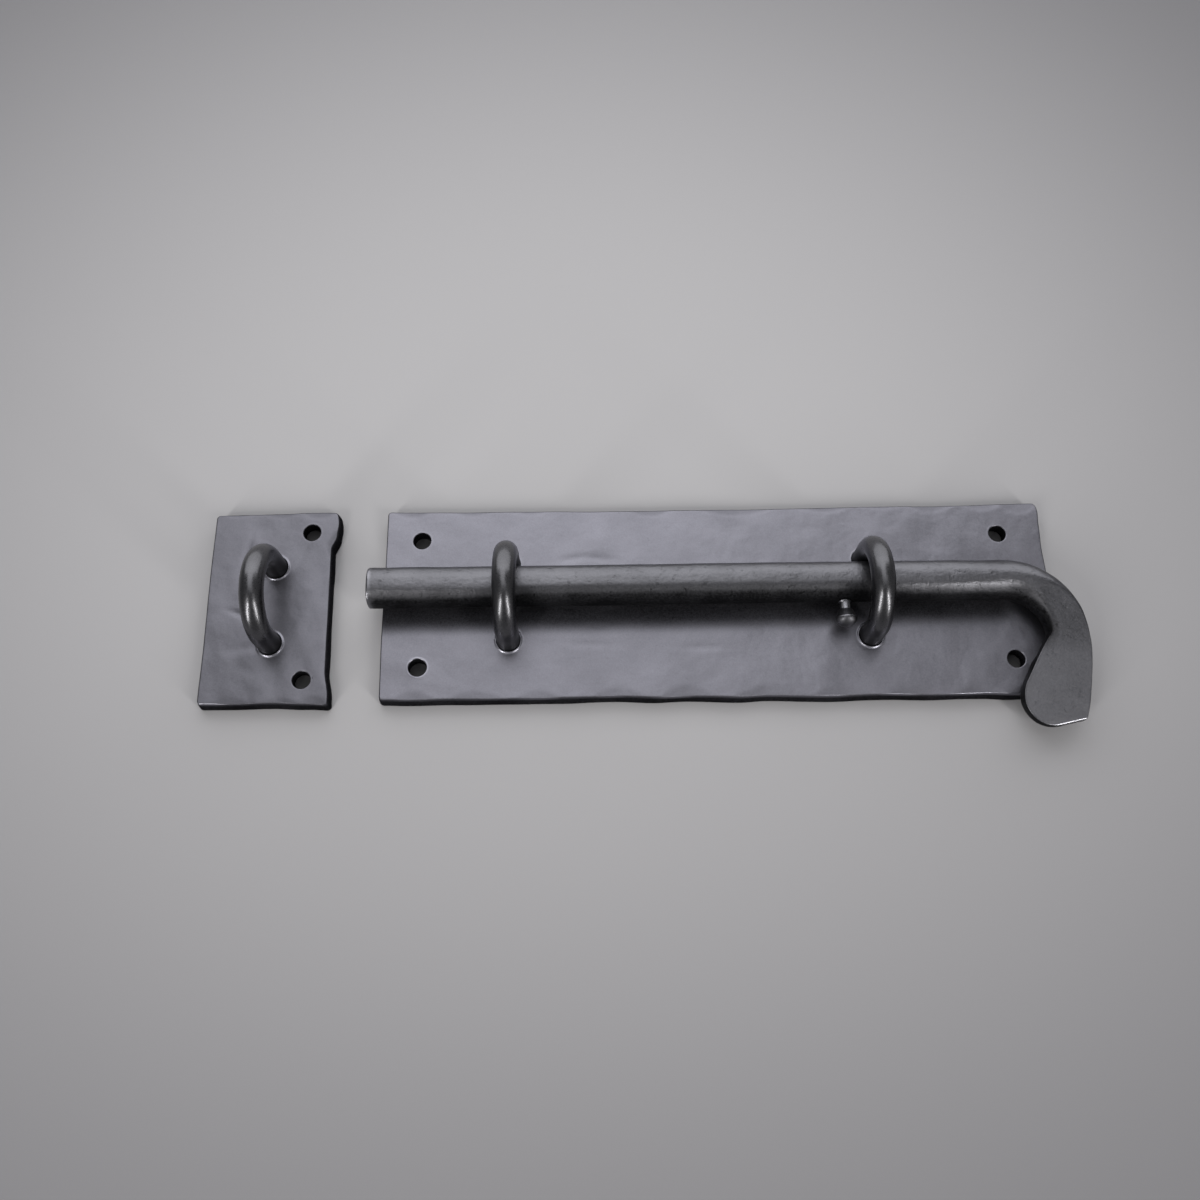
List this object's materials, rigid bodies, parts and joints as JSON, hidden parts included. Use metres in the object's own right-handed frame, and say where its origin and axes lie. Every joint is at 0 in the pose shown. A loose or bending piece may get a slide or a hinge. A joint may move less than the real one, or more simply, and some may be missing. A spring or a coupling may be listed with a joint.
{
  "type": "slide bolt",
  "caption": "Hand-forged iron slide bolt on a hammered back plate, with two staples, a turned paddle handle, a stop pin and a separate keeper.",
  "frame": {"origin": "centre of the back plate's four screw holes, on its back face, which lies on the door", "axes": "+X along the bolt towards its handle, the keeper is at -X; +Y across the bolt, away from the side where the paddle hangs; +Z out of the door"},
  "size_m": [0.2764, 0.0766, 0.029],
  "materials": {
    "hammered_plate": "satin black over hammered iron",
    "bent_bar": "satin black, smooth",
    "forged_bar": "satin black over forge scale",
    "forged_pin": "satin black, filed smooth",
    "ground_weld": "satin black over a ground weld"
  },
  "bodies": {
    "mounting": {"backplate": "hammered_plate", "front_staple": "bent_bar", "rear_staple": "bent_bar", "front_staple_welds": "ground_weld", "rear_staple_welds": "ground_weld", "keeper_plate": "hammered_plate", "keeper_staple": "bent_bar", "keeper_staple_welds": "ground_weld"},
    "bolt": {"slide_bolt": "forged_bar", "stop_pin": "forged_pin"}
  },
  "joints": [
    {"name": "bolt_slide", "type": "slide", "parent": "mounting", "child": "bolt", "axis": [-1, 0, 0], "range_m": [-0.0023, 0.047]}
  ]
}
